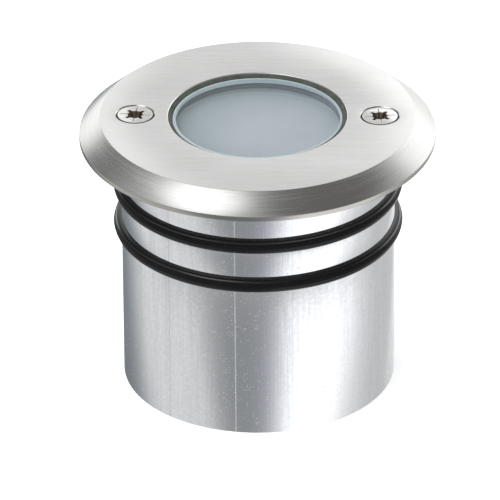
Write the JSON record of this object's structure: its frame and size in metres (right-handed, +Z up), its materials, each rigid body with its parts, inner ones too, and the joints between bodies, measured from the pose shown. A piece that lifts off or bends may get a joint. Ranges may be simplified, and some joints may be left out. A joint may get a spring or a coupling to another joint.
{
  "type": "in-ground well light",
  "caption": "Compact in-ground well light: a bevelled steel bezel clamps a stepped frosted glass over a tube housing with sealing O-rings.",
  "frame": {"origin": "centre of the tube's bottom rim, on the tube's axis", "axes": "+Z up the tube's axis towards the glass, +X towards one of the two bezel screws"},
  "size_m": [0.08, 0.08, 0.0645],
  "materials": {
    "bezel_steel": "brushed flat top and turned bevel",
    "screw_steel": "polished stainless",
    "tube_aluminium": "mill finish with fine die lines",
    "plate_aluminium": "turned satin",
    "ring_rubber": "satin black",
    "gasket_rubber": "matte olive black",
    "lens_glass": "frosted underneath, polished edge",
    "reflector_metal": "bright anodised",
    "gland_nylon": "moulded, satin",
    "retainer_nylon": "moulded, natural",
    "post_brass": "nickel plated",
    "driver_laminate": "green solder mask",
    "led_laminate": "white solder mask",
    "led_phosphor": "yellow phosphor under clear silicone",
    "terminal_plastic": "moulded green",
    "capacitor_sleeve": "shrunk sleeve",
    "ferrite": "ground ferrite and enamelled wire",
    "chip_resin": "moulded resin",
    "red_insulation": "insulation",
    "black_insulation": "insulation"
  },
  "bodies": {
    "housing": {"housing": "tube_aluminium", "upper_o_ring": "ring_rubber", "lower_o_ring": "ring_rubber", "lower_lens_gasket": "gasket_rubber", "base_plate": "plate_aluminium", "base_plate_gasket": "gasket_rubber", "base_plate_screws": "screw_steel", "gland_body": "gland_nylon", "gland_washer": "ring_rubber", "gland_lock_nut": "post_brass", "gland_seal": "ring_rubber", "lower_posts": "post_brass", "driver_board": "driver_laminate", "terminal_block": "terminal_plastic", "terminal_screws": "screw_steel", "driver_capacitor": "capacitor_sleeve", "driver_inductor": "ferrite", "driver_rectifier": "chip_resin", "driver_chip": "chip_resin", "upper_posts": "post_brass", "heat_plate": "plate_aluminium", "heat_plate_screws": "screw_steel", "led_board": "led_laminate", "led_board_screws": "screw_steel", "led_emitters": "led_phosphor", "led_lead_positive": "red_insulation", "led_lead_negative": "black_insulation", "reflector": "reflector_metal"},
    "bezel": {"bezel_ring": "bezel_steel", "lens": "lens_glass", "upper_lens_gasket": "gasket_rubber"},
    "left_retainer": {"left_screw_retainer": "retainer_nylon"},
    "right_retainer": {"right_screw_retainer": "retainer_nylon"},
    "left_screw": {"left_bezel_screw": "screw_steel"},
    "right_screw": {"right_bezel_screw": "screw_steel"},
    "gland_claw": {"gland_claw": "retainer_nylon"},
    "gland_nut": {"gland_dome_nut": "gland_nylon"}
  },
  "joints": [
    {"name": "bezel_lift", "type": "slide", "parent": "housing", "child": "bezel", "axis": [0, 0, 1], "range_m": [0, 0.04]},
    {"name": "left_screw_rise", "type": "slide", "parent": "bezel", "child": "left_retainer", "axis": [0, 0, 1], "range_m": [0, 0.0007]},
    {"name": "left_screw_turn", "type": "hinge", "parent": "left_retainer", "child": "left_screw", "pos_m": [-0.0274, 0, 0.0645], "axis": [0, 0, 1], "range_deg": [0, 360]},
    {"name": "right_screw_rise", "type": "slide", "parent": "bezel", "child": "right_retainer", "axis": [0, 0, 1], "range_m": [0, 0.0007]},
    {"name": "right_screw_turn", "type": "hinge", "parent": "right_retainer", "child": "right_screw", "pos_m": [0.0274, 0, 0.0645], "axis": [0, 0, 1], "range_deg": [0, 360]},
    {"name": "gland_claw_drop", "type": "slide", "parent": "housing", "child": "gland_claw", "axis": [0, 0, -1], "range_m": [0, 0.003]},
    {"name": "gland_nut_turn", "type": "hinge", "parent": "gland_claw", "child": "gland_nut", "pos_m": [0, 0, 0.008], "axis": [0, 0, -1], "range_deg": [0, 720]}
  ],
  "couplings": [
    {"joint": "left_screw_turn", "follows": "left_screw_rise", "rad_per_m": 8975.9},
    {"joint": "right_screw_turn", "follows": "right_screw_rise", "rad_per_m": 8975.9},
    {"joint": "gland_nut_turn", "follows": "gland_claw_drop", "rad_per_m": 4188.8}
  ]
}
